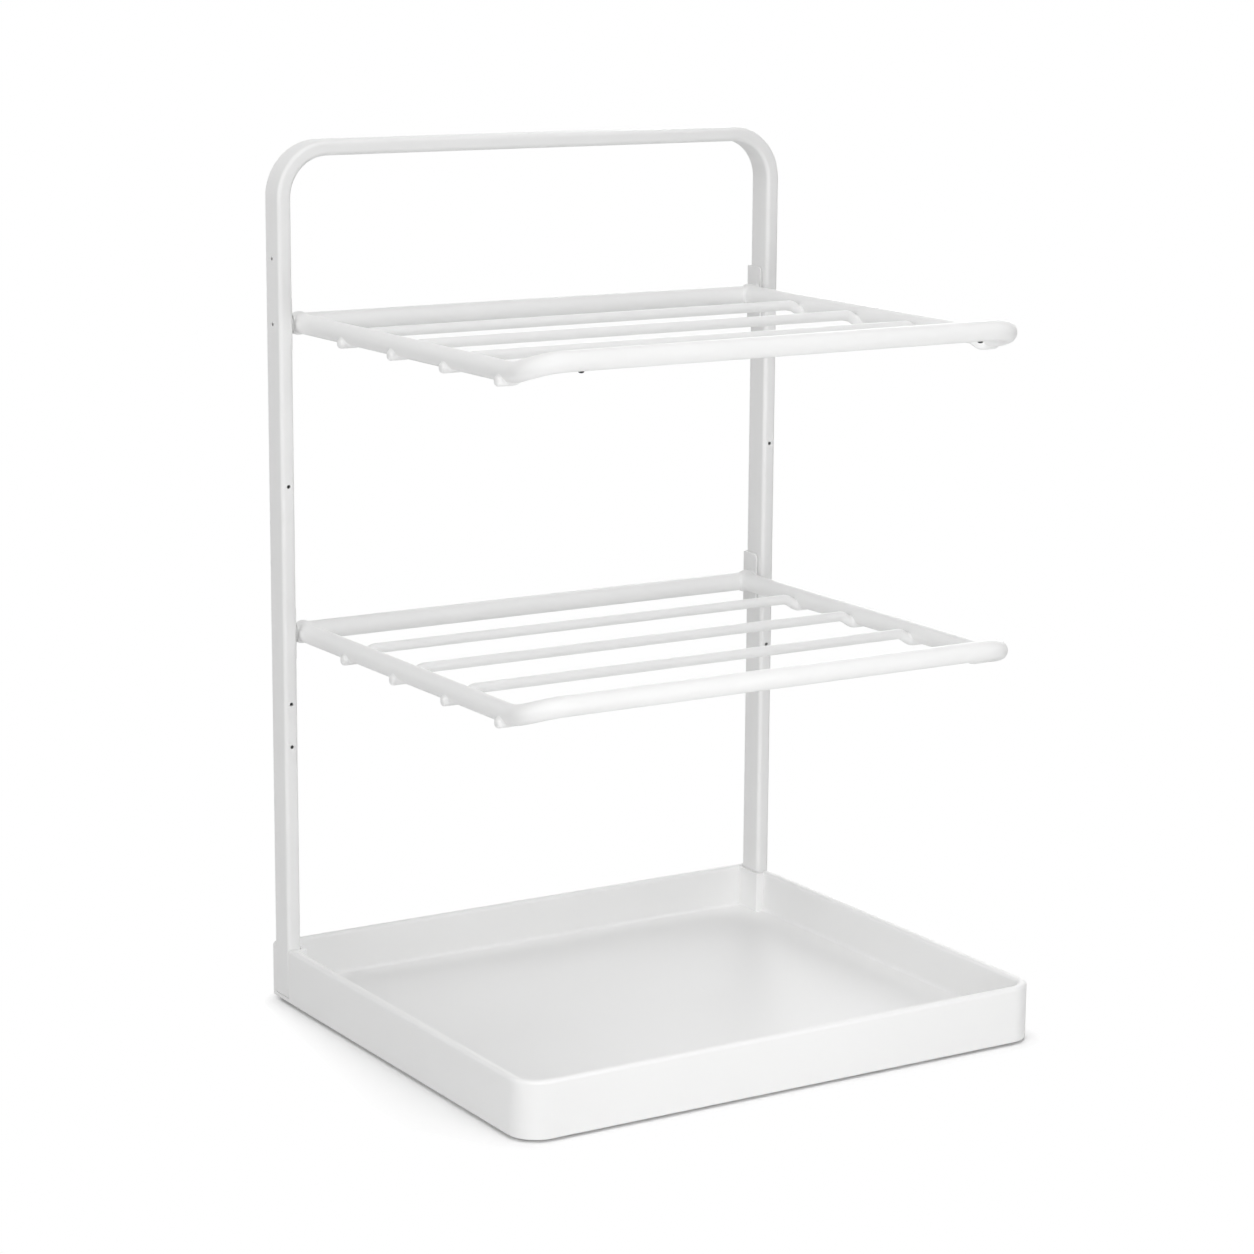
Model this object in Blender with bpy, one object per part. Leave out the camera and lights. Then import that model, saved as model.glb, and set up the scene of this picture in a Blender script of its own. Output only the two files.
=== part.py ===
"""Desktop bookshelf: a moulded tray, a bent tube frame and two welded wire shelves.

Units are metres, +Z is up, the front faces -Y and the feet stand on z = 0.
The frame, with both shelves on it, lifts off two pegs that stand in the tray's back corners.
"""

import math

import bmesh
import bpy
import numpy as np

# Clearance between pieces that touch, and how far a cutter runs past the face that it opens
GAP = 0.0003
PAST = 0.002

# Tray
TRAY_WIDTH = 0.320
TRAY_DEPTH = 0.2805
TRAY_HEIGHT = 0.0305
TRAY_WALL = 0.0052
TRAY_FRONT_RADIUS = 0.016
TRAY_BACK_RADIUS = 0.003
RIM_ROUND = 0.002
HEEL_ROUND = 0.0006
FLOOR_FILLET = 0.002
FLOOR_THICKNESS = 0.0025
UNDERSIDE_DEPTH = 0.004
UNDERSIDE_RIB = 0.002
UNDERSIDE_COLUMNS = 3
SOCKET_WALL = 0.002
SOCKET_DROP = 0.0004
POST_BACKING = 0.0042
LEDGE_THICKNESS = 0.0025

# Feet
FOOT_RADIUS = 0.007
FOOT_STANDOFF = 0.0015
FOOT_ROUND = 0.0008
FOOT_INSET = 0.023

# Back frame
TUBE_WIDTH = 0.008
TUBE_DEPTH = 0.017
TUBE_WALL = 0.0012
TUBE_ROUND = 0.0022
FRAME_TOP = 0.475
BEND_RADIUS = 0.026
HOLE_RADIUS = 0.00105
FRONT_HOLE_HEIGHTS = (0.147, 0.171, 0.291)
SPARE_HOLE_DROP = 0.062

# Shelves
UPPER_LEVEL = 0.378
LOWER_LEVEL = 0.209
ROD_RADIUS = 0.0053
SHELF_REACH = 0.2525
ROD_BEND = 0.015
FRONT_RISE = 0.0072
RISE_LEAD = 0.011
WIRE_RADIUS = 0.00275
WIRE_END_ROUND = 0.0018
WIRE_END_FLAT = 0.0011
WELD_SINK = 0.00385
CROSS_WIRE_COUNT = 4
CROSS_WIRE_BACK = 0.0605
CROSS_WIRE_FRONT = 0.027
CROSS_WIRE_OVERHANG = 0.007
CRANK_START = 0.0025
CRANK_RUN = 0.0105
CRANK_RISE = 0.0046
VENT_INSET = 0.025
PLUG_RADIUS = 0.0015
PLUG_DROP = 0.0008
PLUG_FLAT = 0.0006
PLUG_STEM_RADIUS = 0.001
PLUG_STEM = 0.004

# End plates and pins that hold a shelf on the posts
PLATE_THICKNESS = 0.0012
PLATE_HEIGHT = 0.032
PLATE_SETBACK = 0.0042
PLATE_WRAP = 0.0066
PLATE_CORNER = 0.003
PLATE_EDGE = 0.00025
PIN_RADIUS = 0.0016
PIN_CHAMFER = 0.0004
PIN_GRIP = 0.010
PIN_REACH = 0.0045

# Pegs inside the posts, and their screws
PEG_HEIGHT = 0.026
PEG_ROUND = 0.001
PEG_CHAMFER = 0.0012
SCREW_RADIUS = 0.00125
SCREW_HEAD_RADIUS = 0.0023
SCREW_HEAD_HEIGHT = 0.0011
SCREW_GRIP = 0.012

# Facets around round shapes
ROD_SIDES = 18
WIRE_SIDES = 12
TURNED_SIDES = 24
ARC_STEPS = 8
EDGE_STEPS = 4
SMOOTH_ANGLE = math.radians(35)

# Places that follow from the sizes
TRAY_BOTTOM = FOOT_STANDOFF
RIM_TOP = TRAY_BOTTOM + TRAY_HEIGHT
UNDERSIDE_TOP = TRAY_BOTTOM + UNDERSIDE_DEPTH
FLOOR_TOP = UNDERSIDE_TOP + FLOOR_THICKNESS
LEDGE_TOP = TRAY_BOTTOM + LEDGE_THICKNESS
POST_X = TRAY_WIDTH / 2 - TUBE_WIDTH / 2
POST_INNER_X = TRAY_WIDTH / 2 - TUBE_WIDTH
POST_Y = TRAY_DEPTH / 2 - POST_BACKING - GAP - TUBE_DEPTH / 2
POST_FOOT = LEDGE_TOP + GAP
PLATE_OUTER_X = POST_INNER_X - GAP
PLATE_INNER_X = PLATE_OUTER_X - PLATE_THICKNESS
RAIL_END_X = PLATE_INNER_X - GAP
SIDE_ROD_X = RAIL_END_X - ROD_RADIUS
FRONT_RAIL_Y = POST_Y - SHELF_REACH
CROSS_WIRE_Z = -ROD_RADIUS - WIRE_RADIUS + WELD_SINK
CROSS_WIRE_PITCH = (SHELF_REACH - CROSS_WIRE_BACK - CROSS_WIRE_FRONT) / (CROSS_WIRE_COUNT - 1)
VENT_X = SIDE_ROD_X - VENT_INSET
SIDES = {"left": -1, "right": 1}


def clear_scene():
    for obj in list(bpy.data.objects):
        bpy.data.objects.remove(obj)


def principled(name, colour, roughness, metallic):
    material = bpy.data.materials.new(name)
    material.use_nodes = True
    shader = material.node_tree.nodes["Principled BSDF"]
    shader.inputs["Base Color"].default_value = (*colour, 1.0)
    shader.inputs["Roughness"].default_value = roughness
    shader.inputs["Metallic"].default_value = metallic
    return material


def add_rings(bm, rings, loop=False):
    """Quads between each ring of points and the next. The end rings get caps, or meet in a loop."""
    rows = [[bm.verts.new(point) for point in ring] for ring in rings]
    pairs = list(zip(rows, rows[1:]))
    if loop:
        pairs.append((rows[-1], rows[0]))
    else:
        bm.faces.new(rows[0])
        bm.faces.new(rows[-1])
    for low, high in pairs:
        for i, vertex in enumerate(low):
            bm.faces.new((vertex, low[i - 1], high[i - 1], high[i]))


def finished(name, bm):
    """The bmesh as a mesh whose faces point out, shaded smooth except at its sharp edges."""
    bmesh.ops.recalc_face_normals(bm, faces=bm.faces)
    mesh = bpy.data.meshes.new(name)
    bm.to_mesh(mesh)
    bm.free()
    mesh.shade_smooth()
    mesh.set_sharp_from_angle(angle=SMOOTH_ANGLE)
    return mesh


def rings_mesh(name, rings, loop=False):
    bm = bmesh.new()
    add_rings(bm, rings, loop)
    return finished(name, bm)


def place(name, mesh, material, parent=None, location=(0, 0, 0), rotation=(0, 0, 0)):
    obj = bpy.data.objects.new(name, mesh)
    if not mesh.materials:
        mesh.materials.append(material)
    obj.parent = parent
    obj.location = location
    obj.rotation_euler = rotation
    bpy.context.scene.collection.objects.link(obj)
    return obj


def place_empty(name, location, parent=None):
    empty = bpy.data.objects.new(name, None)
    empty.parent = parent
    empty.location = location
    bpy.context.scene.collection.objects.link(empty)
    return empty


def carve(target, name, mesh, operation="DIFFERENCE", parent=None):
    """A Boolean on the target with the mesh, held by a hidden object under the same parent."""
    cutter = bpy.data.objects.new(name, mesh)
    cutter.parent = parent
    cutter.hide_render = True
    cutter.display_type = "WIRE"
    bpy.context.scene.collection.objects.link(cutter)
    modifier = target.modifiers.new(name, "BOOLEAN")
    modifier.operation = operation
    modifier.object = cutter


def circle(radius, sides):
    angles = np.arange(sides) * 2 * math.pi / sides
    return np.column_stack([radius * np.cos(angles), radius * np.sin(angles)])


def quarter(steps):
    """(sine, cosine) pairs from 0 to 90 degrees."""
    angles = np.linspace(0, math.pi / 2, steps + 1)
    return list(zip(np.sin(angles), np.cos(angles)))


def rounded_rectangle(low, high, radii, steps=EDGE_STEPS):
    """Counter-clockwise outline from low to high, with a radius for each corner from back right round."""
    corners = [(high[0], high[1]), (low[0], high[1]), (low[0], low[1]), (high[0], low[1])]
    points = []
    for quadrant, ((x, y), radius) in enumerate(zip(corners, radii)):
        centre_x = x - radius * (1 if x == high[0] else -1)
        centre_y = y - radius * (1 if y == high[1] else -1)
        for step in range(steps + 1):
            angle = (quadrant + step / steps) * math.pi / 2
            points.append((centre_x + radius * math.cos(angle), centre_y + radius * math.sin(angle)))
    return points


def at_height(outline, z):
    return [(x, y, z) for x, y in outline]


def prism(name, outline, low, high):
    return rings_mesh(name, [at_height(outline, low), at_height(outline, high)])


def turned(name, profile, sides=TURNED_SIDES):
    """A solid turned about Z from (radius, height) pairs."""
    return rings_mesh(name, [at_height(circle(radius, sides), height) for radius, height in profile])


def drill(target, name, holes, parent=None):
    """Round holes along X, Y or Z, each given by its start, end and radius."""
    bm = bmesh.new()
    for start, end, radius in holes:
        start, end = np.array(start), np.array(end)
        along = (end - start) / np.linalg.norm(end - start)
        across = np.roll(along, 1)
        other = np.cross(along, across)
        ring = [u * across + v * other for u, v in circle(radius, TURNED_SIDES)]
        add_rings(bm, [[start + p for p in ring], [end + p for p in ring]])
    carve(target, name, finished(name, bm), parent=parent)


def tray_outline(inset):
    half_x, half_y = TRAY_WIDTH / 2 - inset, TRAY_DEPTH / 2 - inset
    back = max(TRAY_BACK_RADIUS - inset, HEEL_ROUND)
    front = max(TRAY_FRONT_RADIUS - inset, HEEL_ROUND)
    return rounded_rectangle((-half_x, -half_y), (half_x, half_y), (back, back, front, front), ARC_STEPS)


def tray_body():
    """The outline carried up the outside, over the round rim and down the inside to the floor."""
    profile = [(HEEL_ROUND * (1 - s), TRAY_BOTTOM + HEEL_ROUND * (1 - c)) for s, c in quarter(2)]
    profile += [(RIM_ROUND * (1 - c), RIM_TOP - RIM_ROUND * (1 - s)) for s, c in quarter(EDGE_STEPS)]
    profile += [
        (TRAY_WALL - RIM_ROUND * (1 - s), RIM_TOP - RIM_ROUND * (1 - c)) for s, c in quarter(EDGE_STEPS)
    ]
    profile += [
        (TRAY_WALL + FLOOR_FILLET * (1 - c), FLOOR_TOP + FLOOR_FILLET * (1 - s))
        for s, c in quarter(EDGE_STEPS)
    ]
    return rings_mesh("tray", [at_height(tray_outline(inset), z) for inset, z in profile])


def underside_pockets():
    """Shallow cells that leave ribs under the floor. The back row stays clear of the post sockets."""
    bm = bmesh.new()
    radius = TRAY_FRONT_RADIUS - TRAY_WALL
    front_y = TRAY_DEPTH / 2 - TRAY_WALL
    rows = [
        (-front_y, -UNDERSIDE_RIB / 2, TRAY_WIDTH / 2 - TRAY_WALL),
        (UNDERSIDE_RIB / 2, front_y, PLATE_OUTER_X - SOCKET_WALL),
    ]
    for low_y, high_y, half_x in rows:
        pitch = (2 * half_x + UNDERSIDE_RIB) / UNDERSIDE_COLUMNS
        for column in range(UNDERSIDE_COLUMNS):
            low_x = -half_x + column * pitch
            outline = rounded_rectangle((low_x, low_y), (low_x + pitch - UNDERSIDE_RIB, high_y), [radius] * 4)
            add_rings(bm, [at_height(outline, TRAY_BOTTOM - PAST), at_height(outline, UNDERSIDE_TOP)])
    return finished("tray_underside", bm)


def build_tray(plastic):
    tray = place("tray", tray_body(), plastic)
    front, back = POST_Y - TUBE_DEPTH / 2 - GAP, POST_Y + TUBE_DEPTH / 2 + GAP
    inner = PLATE_OUTER_X
    # Half the wall: the socket starts and ends inside the tray's own walls
    buried = TRAY_WALL / 2
    for side, sign in SIDES.items():
        wide = sorted((sign * (TRAY_WIDTH / 2 - buried), sign * (inner - SOCKET_WALL)))
        deep = (front - SOCKET_WALL, TRAY_DEPTH / 2 - POST_BACKING / 2)
        outline = rounded_rectangle((wide[0], deep[0]), (wide[1], deep[1]), [HEEL_ROUND] * 4)
        socket = prism(f"tray_socket_{side}", outline, FLOOR_TOP - FLOOR_THICKNESS / 2, RIM_TOP - SOCKET_DROP)
        carve(tray, f"tray_socket_{side}", socket, "UNION")
    for side, sign in SIDES.items():
        wide = sorted((sign * (TRAY_WIDTH / 2 + PAST), sign * inner))
        outline = rounded_rectangle((wide[0], front), (wide[1], back), [HEEL_ROUND] * 4)
        carve(tray, f"tray_notch_{side}", prism(f"tray_notch_{side}", outline, LEDGE_TOP, RIM_TOP + PAST))
    carve(tray, "tray_underside", underside_pockets())
    for side, sign in SIDES.items():
        sink = SCREW_HEAD_RADIUS + GAP
        bore = SCREW_RADIUS + GAP
        # The cone goes on past the tray's bottom at its own slope
        slope = (SCREW_HEAD_RADIUS - SCREW_RADIUS) / SCREW_HEAD_HEIGHT
        profile = [
            (sink + slope * PAST, TRAY_BOTTOM - PAST),
            (bore, TRAY_BOTTOM + SCREW_HEAD_HEIGHT),
            (bore, LEDGE_TOP + PAST),
        ]
        mesh = turned(f"tray_screw_hole_{side}", profile)
        for vertex in mesh.vertices:
            vertex.co.x += sign * POST_X
            vertex.co.y += POST_Y
        carve(tray, f"tray_screw_hole_{side}", mesh)


def build_feet(rubber):
    top = UNDERSIDE_TOP - GAP
    profile = [(FOOT_RADIUS - FOOT_ROUND * (1 - s), FOOT_ROUND * (1 - c)) for s, c in quarter(2)]
    mesh = turned("foot", profile + [(FOOT_RADIUS, top)])
    for end, y_sign in {"front": -1, "back": 1}.items():
        for side, x_sign in SIDES.items():
            x = x_sign * (TRAY_WIDTH / 2 - FOOT_INSET)
            y = y_sign * (TRAY_DEPTH / 2 - FOOT_INSET)
            place(f"foot_{end}_{side}", mesh, rubber, location=(x, y, 0))


def build_pegs(steel):
    half_x = TUBE_WIDTH / 2 - TUBE_WALL - GAP
    half_y = TUBE_DEPTH / 2 - TUBE_WALL - GAP

    def outline(inset):
        x, y = half_x - inset, half_y - inset
        return rounded_rectangle((-x, -y), (x, y), [PEG_ROUND] * 4)

    rings = [
        at_height(outline(0), 0),
        at_height(outline(0), PEG_HEIGHT - PEG_CHAMFER),
        at_height(outline(PEG_CHAMFER), PEG_HEIGHT),
    ]
    peg_mesh = rings_mesh("peg", rings)
    seat = LEDGE_TOP + GAP
    grip_end = seat + SCREW_GRIP
    head_low = TRAY_BOTTOM + GAP / 2
    head_high = head_low + SCREW_HEAD_HEIGHT
    screw_mesh = turned(
        "peg_screw",
        [(SCREW_HEAD_RADIUS, head_low), (SCREW_RADIUS, head_high), (SCREW_RADIUS, grip_end)],
    )
    for side, sign in SIDES.items():
        peg = place(f"peg_{side}", peg_mesh, steel, location=(sign * POST_X, POST_Y, seat))
        hole = [((0, 0, -PAST), (0, 0, SCREW_GRIP + GAP), SCREW_RADIUS + GAP)]
        drill(peg, f"peg_hole_{side}", hole, parent=peg)
        place(f"peg_screw_{side}", screw_mesh, steel, location=(sign * POST_X, POST_Y, 0))


def frame_path():
    """(point, outward normal) pairs along the tube's centre line, in the plane of the frame."""
    top = FRAME_TOP - TUBE_WIDTH / 2
    left = [((-POST_X, POST_FOOT), (-1, 0))]
    for step in range(ARC_STEPS + 1):
        angle = math.pi - step / ARC_STEPS * math.pi / 2
        normal = (math.cos(angle), math.sin(angle))
        centre = (-POST_X + BEND_RADIUS, top - BEND_RADIUS)
        left.append(((centre[0] + BEND_RADIUS * normal[0], centre[1] + BEND_RADIUS * normal[1]), normal))
    right = [((-x, z), (-nx, nz)) for (x, z), (nx, nz) in reversed(left)]
    return left + right


def tube_section(inset):
    half_x, half_y = TUBE_WIDTH / 2 - inset, TUBE_DEPTH / 2 - inset
    return rounded_rectangle((-half_x, -half_y), (half_x, half_y), [TUBE_ROUND - inset] * 4)


def build_frame(paint, parent):
    outside, inside = [], []
    for (x, z), (nx, nz) in frame_path():
        for section, rings in ((tube_section(0), outside), (tube_section(TUBE_WALL), inside)):
            rings.append([(x + u * nx, v, z + u * nz - POST_FOOT) for u, v in section])
    mesh = rings_mesh("back_frame", outside + inside[::-1], loop=True)
    frame = place("back_frame", mesh, paint, parent)
    holes = []
    for sign in SIDES.values():
        outer, middle, inner = sign * (TRAY_WIDTH / 2 + PAST), sign * POST_X, sign * (POST_INNER_X - PAST)
        for height in (UPPER_LEVEL, FRAME_TOP - SPARE_HOLE_DROP):
            z = height - POST_FOOT
            holes.append(((middle, 0, z), (outer, 0, z), HOLE_RADIUS))
        for level in (UPPER_LEVEL, LOWER_LEVEL):
            z = level - POST_FOOT
            holes.append(((inner, 0, z), (middle - sign * GAP, 0, z), PIN_RADIUS + GAP))
        for height in FRONT_HOLE_HEIGHTS:
            z = height - POST_FOOT
            holes.append(((middle, -TUBE_DEPTH / 2 - PAST, z), (middle, 0, z), HOLE_RADIUS))
    drill(frame, "frame_holes", holes, parent)


def smooth_step(share):
    share = min(max(share, 0), 1)
    return share * share * (3 - 2 * share)


def rim_path():
    """Centre line of the rim rod: back to front on the left, along the raised front, and back again."""
    corner_x, corner_y = -SIDE_ROD_X + ROD_BEND, FRONT_RAIL_Y - POST_Y + ROD_BEND
    rise_length = RISE_LEAD + ROD_BEND * math.pi / 2
    left = [(-SIDE_ROD_X, 0, 0)]
    for step in range(EDGE_STEPS):
        travel = RISE_LEAD * step / EDGE_STEPS
        y = corner_y + RISE_LEAD - travel
        left.append((-SIDE_ROD_X, y, FRONT_RISE * smooth_step(travel / rise_length)))
    for step in range(ARC_STEPS + 1):
        turn = step / ARC_STEPS * math.pi / 2
        travel = RISE_LEAD + ROD_BEND * turn
        x = corner_x - ROD_BEND * math.cos(turn)
        y = corner_y - ROD_BEND * math.sin(turn)
        left.append((x, y, FRONT_RISE * smooth_step(travel / rise_length)))
    return np.array(left + [(-x, y, z) for x, y, z in reversed(left)])


def swept_rod(name, path, radii, sides):
    """A round rod along a path that is never upright, with one radius or a radius for each point."""
    tangents = np.gradient(path, axis=0)
    tangents[0], tangents[-1] = path[1] - path[0], path[-1] - path[-2]
    rings = []
    for point, tangent, radius in zip(path, tangents, np.broadcast_to(radii, len(path))):
        across = np.cross(tangent, (0, 0, 1))
        across /= np.linalg.norm(across)
        upward = np.cross(across, tangent)
        upward /= np.linalg.norm(upward)
        rings.append([point + u * across + v * upward for u, v in circle(radius, sides)])
    return rings_mesh(name, rings)


def cranked_wire(name):
    """A wire along X whose rounded ends dip under the side rods, so that its middle lies between them."""
    half = SIDE_ROD_X + CROSS_WIRE_OVERHANG
    crank = SIDE_ROD_X - CRANK_START
    span = WIRE_RADIUS - WIRE_END_FLAT
    left = [(WIRE_END_ROUND * (1 - c) - half, WIRE_END_FLAT + span * s) for s, c in quarter(3)]
    left += [(x, WIRE_RADIUS) for x in np.linspace(-crank, CRANK_RUN - crank, ARC_STEPS + 1)]
    stations = left + [(-x, radius) for x, radius in reversed(left)]
    rises = [CRANK_RISE * smooth_step((crank - abs(x)) / CRANK_RUN) for x, radius in stations]
    path = np.array([(x, 0, CROSS_WIRE_Z + rise) for (x, radius), rise in zip(stations, rises)])
    return swept_rod(name, path, [radius for x, radius in stations], WIRE_SIDES)


def end_plate_mesh(sign):
    """A plate bent at a right angle: one leaf on the post's inner face, one behind the post."""
    front = PLATE_SETBACK - TUBE_DEPTH / 2
    leaf = TUBE_DEPTH / 2 + GAP
    wrap = PLATE_OUTER_X + PLATE_WRAP
    outline = [
        (PLATE_INNER_X, front),
        (PLATE_OUTER_X, front),
        (PLATE_OUTER_X, leaf),
        (wrap, leaf),
        (wrap, leaf + PLATE_THICKNESS),
        (PLATE_INNER_X, leaf + PLATE_THICKNESS),
    ]
    outline = [(sign * x, y) for x, y in outline]
    bm = bmesh.new()
    half = PLATE_HEIGHT / 2
    add_rings(bm, [at_height(outline, -half), at_height(outline, half)])
    corners = []
    for edge in bm.edges:
        middle = (edge.verts[0].co + edge.verts[1].co) / 2
        level = edge.verts[0].co.z == edge.verts[1].co.z
        at_front = math.isclose(middle.y, front, abs_tol=PLATE_EDGE)
        at_wrap = math.isclose(abs(middle.x), wrap, abs_tol=PLATE_EDGE)
        if level and (at_front or at_wrap):
            corners.append(edge)
    bmesh.ops.bevel(bm, geom=corners, offset=PLATE_CORNER, segments=EDGE_STEPS, affect="EDGES", profile=0.5)
    return finished("end_plate", bm)


def build_shelf(level_name, height, paint, steel, parent):
    shelf = place_empty(f"{level_name}_shelf", (0, 0, height - POST_FOOT), parent)
    path = rim_path()
    rail_cut = [((-TRAY_WIDTH / 2, 0, 0), (TRAY_WIDTH / 2, 0, 0), ROD_RADIUS + GAP)]

    rim = place(f"{level_name}_rim_rod", swept_rod("rim_rod", path, ROD_RADIUS, ROD_SIDES), paint, shelf)
    drill(rim, f"{level_name}_rim_cope", rail_cut, shelf)

    rail_mesh = turned("back_rail", [(ROD_RADIUS, -RAIL_END_X), (ROD_RADIUS, RAIL_END_X)])
    rail = place(f"{level_name}_back_rail", rail_mesh, paint, shelf, rotation=(0, math.pi / 2, 0))
    pin_holes = []
    for sign in SIDES.values():
        start = (sign * (RAIL_END_X - PIN_GRIP - GAP), 0, 0)
        pin_holes.append((start, (sign * (TRAY_WIDTH / 2), 0, 0), PIN_RADIUS + GAP))
    drill(rail, f"{level_name}_rail_bores", pin_holes, shelf)

    rim_saddle = swept_rod("rim_saddle", path, ROD_RADIUS + GAP, ROD_SIDES)
    cross_mesh = cranked_wire("cross_wire")
    for number in range(CROSS_WIRE_COUNT):
        name = f"{level_name}_cross_wire_{number + 1}"
        y = -CROSS_WIRE_BACK - number * CROSS_WIRE_PITCH
        wire = place(name, cross_mesh, paint, shelf, (0, y, 0))
        carve(wire, f"{name}_saddle", rim_saddle, parent=shelf)

    bore_low, bore_high = PLATE_INNER_X - PAST, PLATE_OUTER_X + PAST
    pin_low, pin_high = RAIL_END_X - PIN_GRIP, POST_INNER_X + PIN_REACH
    pin_profile = [
        (PIN_RADIUS - PIN_CHAMFER, pin_low),
        (PIN_RADIUS, pin_low + PIN_CHAMFER),
        (PIN_RADIUS, pin_high - PIN_CHAMFER),
        (PIN_RADIUS - PIN_CHAMFER, pin_high),
    ]
    pin_mesh = turned("pin", pin_profile)
    for side, sign in SIDES.items():
        plate = place(f"{level_name}_end_plate_{side}", end_plate_mesh(sign), paint, shelf)
        bore = [((sign * bore_low, 0, 0), (sign * bore_high, 0, 0), PIN_RADIUS + GAP)]
        drill(plate, f"{level_name}_plate_bore_{side}", bore, shelf)
        soft_edge = plate.modifiers.new("soft_edge", "BEVEL")
        soft_edge.width = PLATE_EDGE
        soft_edge.segments = 1
        place(f"{level_name}_pin_{side}", pin_mesh, steel, shelf, rotation=(0, sign * math.pi / 2, 0))
    return shelf, rim


def fit_vent_plugs(level_name, shelf, rim, rubber):
    """Rubber plugs in the two vent holes under a shelf's front rail."""
    y, bottom = FRONT_RAIL_Y - POST_Y, FRONT_RISE - ROD_RADIUS
    seat = bottom - GAP
    span = PLUG_RADIUS - PLUG_FLAT
    profile = [(PLUG_FLAT + span * s, seat - PLUG_DROP * c) for s, c in quarter(3)]
    profile += [(PLUG_STEM_RADIUS, seat), (PLUG_STEM_RADIUS, seat + PLUG_STEM)]
    plug_mesh = turned("vent_plug", profile)
    vents = []
    for side, sign in SIDES.items():
        x = sign * VENT_X
        vents.append(((x, y, bottom - PAST), (x, y, bottom + PLUG_STEM), PLUG_STEM_RADIUS + GAP))
        place(f"{level_name}_vent_plug_{side}", plug_mesh, rubber, shelf, (x, y, 0))
    drill(rim, f"{level_name}_vents", vents, shelf)


def main():
    clear_scene()
    plastic = principled("tray_plastic", (0.86, 0.86, 0.85), 0.42, 0.0)
    paint = principled("white_powder_coat", (0.88, 0.88, 0.87), 0.38, 0.0)
    rubber = principled("black_rubber", (0.07, 0.07, 0.07), 0.85, 0.0)
    steel = principled("zinc_steel", (0.62, 0.63, 0.65), 0.35, 1.0)
    build_tray(plastic)
    build_feet(rubber)
    build_pegs(steel)
    lift = place_empty("frame_lift", (0, POST_Y, POST_FOOT))
    build_frame(paint, lift)
    build_shelf("lower", LOWER_LEVEL, paint, steel, lift)
    shelf, rim = build_shelf("upper", UPPER_LEVEL, paint, steel, lift)
    fit_vent_plugs("upper", shelf, rim, rubber)


main()
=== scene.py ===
# %% [markdown]
# # A white desktop bookshelf
#
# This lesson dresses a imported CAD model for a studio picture. The object is a moulded tray, a bent
# tube frame that stands in the tray's back corners, and two welded wire shelves that reach forward
# from the frame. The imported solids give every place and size. They are faceted, so each piece that
# shows gets a finer surface here, worked out with numpy from a short formula.

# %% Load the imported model
import math

import bpy
import numpy as np
from mathutils import Matrix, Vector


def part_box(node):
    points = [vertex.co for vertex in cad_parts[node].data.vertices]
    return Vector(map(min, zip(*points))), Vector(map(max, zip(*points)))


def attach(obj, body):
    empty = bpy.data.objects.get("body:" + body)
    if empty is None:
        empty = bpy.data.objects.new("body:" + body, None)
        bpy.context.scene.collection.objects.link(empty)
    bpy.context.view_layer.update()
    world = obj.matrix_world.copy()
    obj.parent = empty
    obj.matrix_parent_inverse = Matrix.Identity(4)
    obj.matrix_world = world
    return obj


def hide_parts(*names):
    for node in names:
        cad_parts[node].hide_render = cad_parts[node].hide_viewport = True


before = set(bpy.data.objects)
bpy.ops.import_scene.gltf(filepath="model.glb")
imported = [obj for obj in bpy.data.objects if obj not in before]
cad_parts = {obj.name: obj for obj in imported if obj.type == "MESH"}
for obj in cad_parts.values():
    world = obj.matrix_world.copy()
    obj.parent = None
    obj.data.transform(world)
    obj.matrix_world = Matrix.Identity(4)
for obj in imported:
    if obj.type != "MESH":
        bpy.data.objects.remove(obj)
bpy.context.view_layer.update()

# %% [markdown]
# ## Sizes
#
# A dressed piece has to lie exactly where its solid lies, so the places are read from the solids'
# boxes. A box can't tell a wall's thickness or a corner's radius, so those few sizes are written
# out, in metres, in the step that first needs them.

# %% Read the sizes
MM = 1000
TUBE_WIDTH = 0.008
FLOOR_THICKNESS = 0.0025
UNDERSIDE_DEPTH = 0.004


def corners(node):
    """Lowest and highest corner of a solid, as arrays."""
    low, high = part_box(node)
    return np.array(low), np.array(high)


tray_low, tray_high = corners("tray")
tube_low, tube_high = corners("back_frame")
post_y = (tube_low[1] + tube_high[1]) / 2
post_x = tube_high[0] - TUBE_WIDTH / 2
floor_top = tray_low[2] + UNDERSIDE_DEPTH + FLOOR_THICKNESS
tray_size = np.round((tray_high - tray_low) * MM, 1)
print("tray", tray_size, "mm, frame top", round(tube_high[2] * MM, 1), "mm")

# %% [markdown]
# ## From a grid of points to a mesh
#
# A tube, a rim and a turned foot are all one thing: rings of points, joined by quads. So one helper
# takes a grid whose rows are rings and whose columns run round each ring. The sum of the signed
# volumes under the faces tells whether they point outwards, and if they don't, every face is turned
# round. Edges sharper than a limit stay sharp, and all others are shaded smooth.

# %% Grid helper
SHARP_ANGLE = math.radians(32)


def outward(points, faces):
    """The faces of a closed surface. If the volume summed over their triangle fans is negative,
    they all point inwards and are turned round."""
    volume = 0.0
    for size in {len(face) for face in faces}:
        ring = points[np.array([face for face in faces if len(face) == size])]
        fan = np.cross(ring[:, 1:-1], ring[:, 2:])
        volume += np.einsum("ij,ikj->", ring[:, 0], fan)
    return faces if volume > 0 else [face[::-1] for face in faces]


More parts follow.
